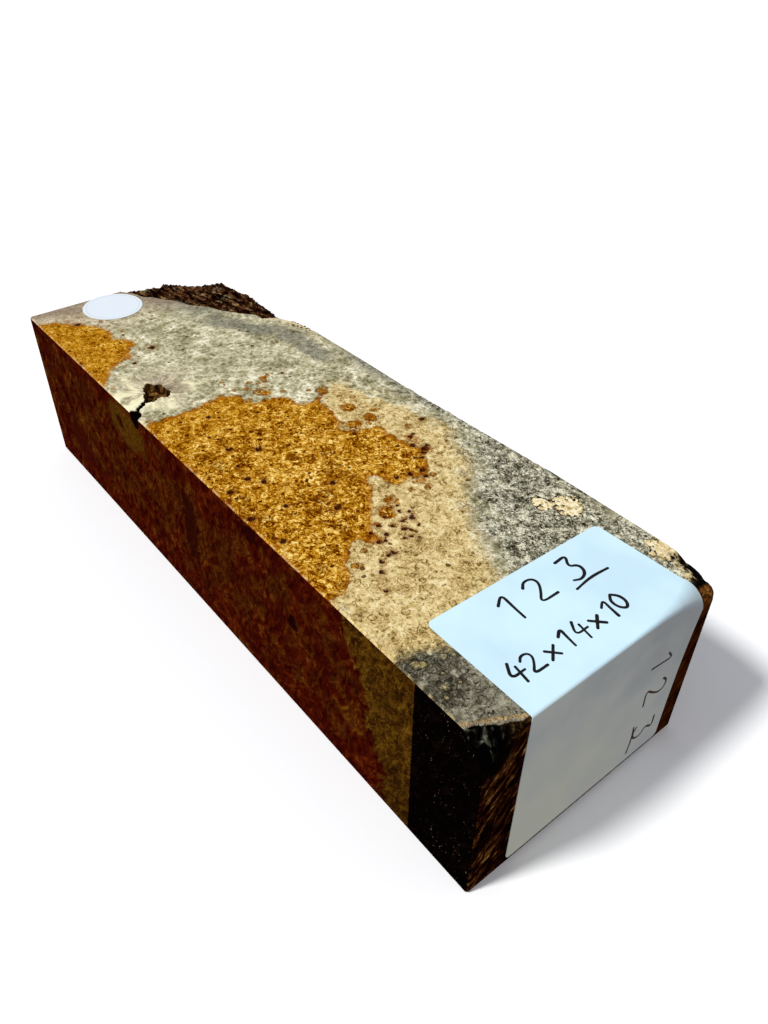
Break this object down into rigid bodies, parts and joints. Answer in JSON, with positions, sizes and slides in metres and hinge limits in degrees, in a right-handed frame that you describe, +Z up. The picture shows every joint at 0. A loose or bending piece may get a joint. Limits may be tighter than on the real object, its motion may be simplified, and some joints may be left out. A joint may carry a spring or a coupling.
{
  "type": "amboyna burl block",
  "caption": "Sawn block of amboyna burl with a live bark edge, a folded paper label over one end and a round paper sticker.",
  "frame": {"origin": "middle of the sawn base, on the surface that the block rests on", "axes": "+X along the block towards the labelled end, +Y towards the side with the bark, +Z up out of the figured face"},
  "size_m": [0.4196, 0.1396, 0.1022],
  "materials": {
    "burl_wood": "sawn amboyna burl with cream sapwood and dark bark, sides under a satin sealing coat",
    "label_paper": "white label paper with a faint sheen",
    "sticker_paper": "white coated sticker paper"
  },
  "bodies": {
    "root": {"burl_block": "burl_wood", "end_label": "label_paper", "round_sticker": "sticker_paper"}
  },
  "joints": []
}
